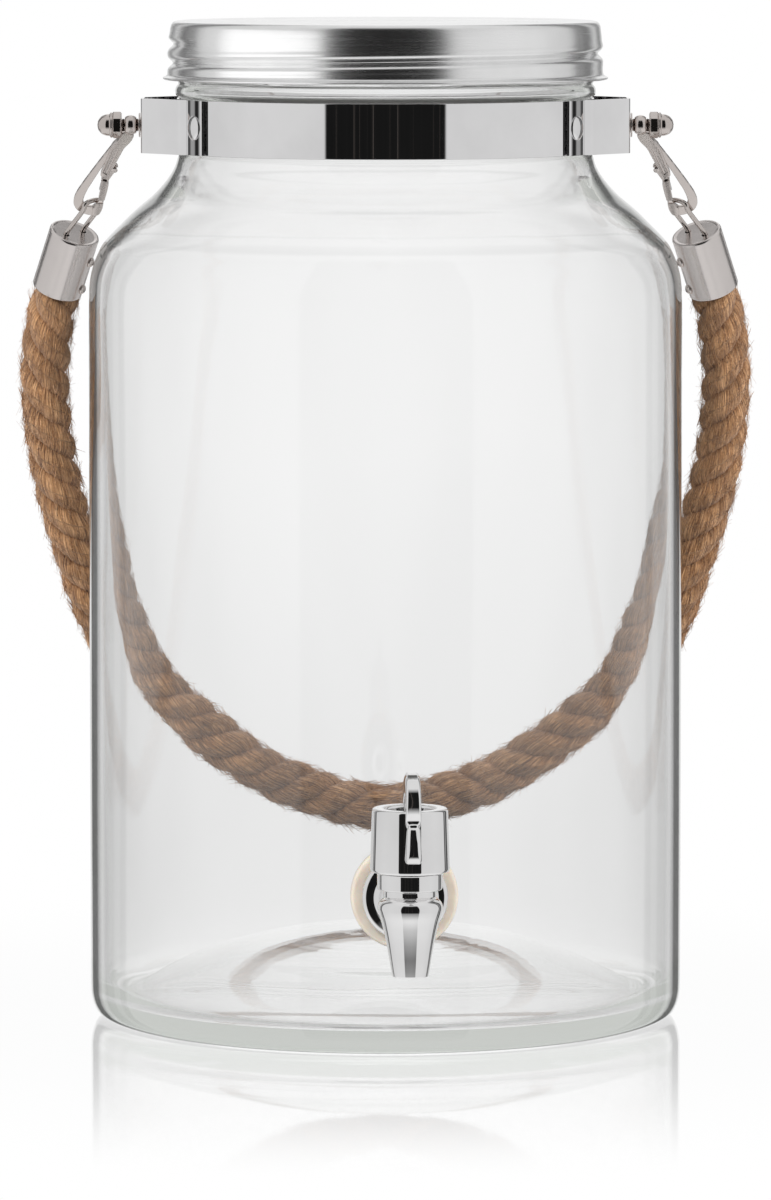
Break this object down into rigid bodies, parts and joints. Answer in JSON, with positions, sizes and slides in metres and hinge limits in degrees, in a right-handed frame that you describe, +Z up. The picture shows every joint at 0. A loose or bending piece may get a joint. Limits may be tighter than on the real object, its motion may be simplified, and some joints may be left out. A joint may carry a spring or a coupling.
{
  "type": "beverage dispenser",
  "caption": "Glass beverage dispenser with a screw lid, a metal neck band, a rope carrying handle on snap hooks and a lever spigot low on the front.",
  "frame": {"origin": "centre of the flat underside of the jar, on the jar's axis", "axes": "+Z up along the jar's axis; the handle bolts lie along X; the front is -Y, and the spigot points there, turned 3.5 degrees towards +X with the jar; +X is to the right seen from the front"},
  "size_m": [0.2248, 0.2396, 0.3023],
  "materials": {
    "glass": "clear, polished, slightly green at thick edges",
    "lid_aluminium": "satin, lightly spun",
    "liner_foam": "soft closed foam",
    "chrome": "mirror polished",
    "spigot_chrome": "mirror polished",
    "nickel": "nickel plated, lightly brushed",
    "steel": "bright steel",
    "jute_rope": "twisted natural fibre, hairy",
    "black_rubber": "matte",
    "silicone": "translucent peach, smooth",
    "white_nylon": "moulded"
  },
  "bodies": {
    "root": {"glass_jar": "glass", "neck_band_front": "chrome", "neck_band_rear": "chrome", "ear_bracket_left": "chrome", "ear_bracket_right": "chrome", "band_rivet_front_left": "chrome", "band_rivet_front_right": "chrome", "band_rivet_rear_left": "chrome", "band_rivet_rear_right": "chrome", "handle_bolt_left": "nickel", "handle_bolt_right": "nickel", "dome_nut_left": "nickel", "dome_nut_right": "nickel", "nut_washer_left": "nickel", "nut_washer_right": "nickel", "spigot_body": "spigot_chrome", "spigot_cap": "spigot_chrome", "spring": "steel", "outer_washer": "silicone", "inner_washer": "silicone", "lock_nut": "white_nylon"},
    "lid_carrier": {"lid_liner": "liner_foam"},
    "lid": {"lid_shell": "lid_aluminium"},
    "hook_link_left": {"hook_left": "nickel", "gate_pin_left": "steel"},
    "hook_link_right": {"hook_right": "nickel", "gate_pin_right": "steel"},
    "gate_left": {"hook_gate_left": "nickel", "gate_spring_left": "steel"},
    "gate_right": {"hook_gate_right": "nickel", "gate_spring_right": "steel"},
    "rope_handle": {"rope": "jute_rope", "shackle_left": "nickel", "ferrule_left": "nickel", "ferrule_screw_upper_left": "nickel", "ferrule_screw_lower_left": "nickel", "shackle_right": "nickel", "ferrule_right": "nickel", "ferrule_screw_upper_right": "nickel", "ferrule_screw_lower_right": "nickel"},
    "valve_stem": {"stem": "steel", "valve_seal": "black_rubber", "lever_pin": "steel"},
    "lever_arm": {"lever": "spigot_chrome"}
  },
  "joints": [
    {"name": "handle_swing_left", "type": "hinge", "parent": "root", "child": "hook_link_left", "pos_m": [-0.0771, 0, 0.27075], "axis": [1, 0, 0], "range_deg": [0, 250]},
    {"name": "handle_swing_right", "type": "hinge", "parent": "root", "child": "hook_link_right", "pos_m": [0.0771, 0, 0.27075], "axis": [1, 0, 0], "range_deg": [0, 250]},
    {"name": "handle_pivot", "type": "hinge", "parent": "hook_link_left", "child": "rope_handle", "pos_m": [0, 0.01146, 0.24526], "axis": [1, 0, 0], "range_deg": [0, 30]},
    {"name": "gate_turn_right", "type": "hinge", "parent": "hook_link_right", "child": "gate_right", "pos_m": [0.0821, 0.0059, 0.25761], "axis": [0, -0.9121, -0.4099], "range_deg": [0, 18]},
    {"name": "gate_turn_left", "type": "hinge", "parent": "hook_link_left", "child": "gate_left", "pos_m": [-0.0821, 0.0059, 0.25761], "axis": [0, 0.9121, 0.4099], "range_deg": [0, 18]},
    {"name": "lid_lift", "type": "slide", "parent": "root", "child": "lid_carrier", "axis": [0, 0, 1], "range_m": [0, 0.0172]},
    {"name": "lid_turn", "type": "hinge", "parent": "lid_carrier", "child": "lid", "pos_m": [0, 0, 0.2934], "axis": [0, 0, 1], "range_deg": [0, 1080]},
    {"name": "stem_lift", "type": "slide", "parent": "root", "child": "valve_stem", "axis": [0, 0, 1], "range_m": [0, 0.0035], "deforming": ["spring"]},
    {"name": "lever_turn", "type": "hinge", "parent": "valve_stem", "child": "lever_arm", "pos_m": [0.00708, -0.11578, 0.0756], "axis": [-0.9981, -0.061, 0], "range_deg": [0, 60]}
  ],
  "couplings": [
    {"joint": "handle_swing_right", "follows": "handle_swing_left", "ratio": 1},
    {"joint": "lid_lift", "follows": "lid_turn", "m_per_rad": 0.00090718},
    {"joint": "stem_lift", "follows": "lever_turn", "m_per_rad": 0.003342}
  ]
}
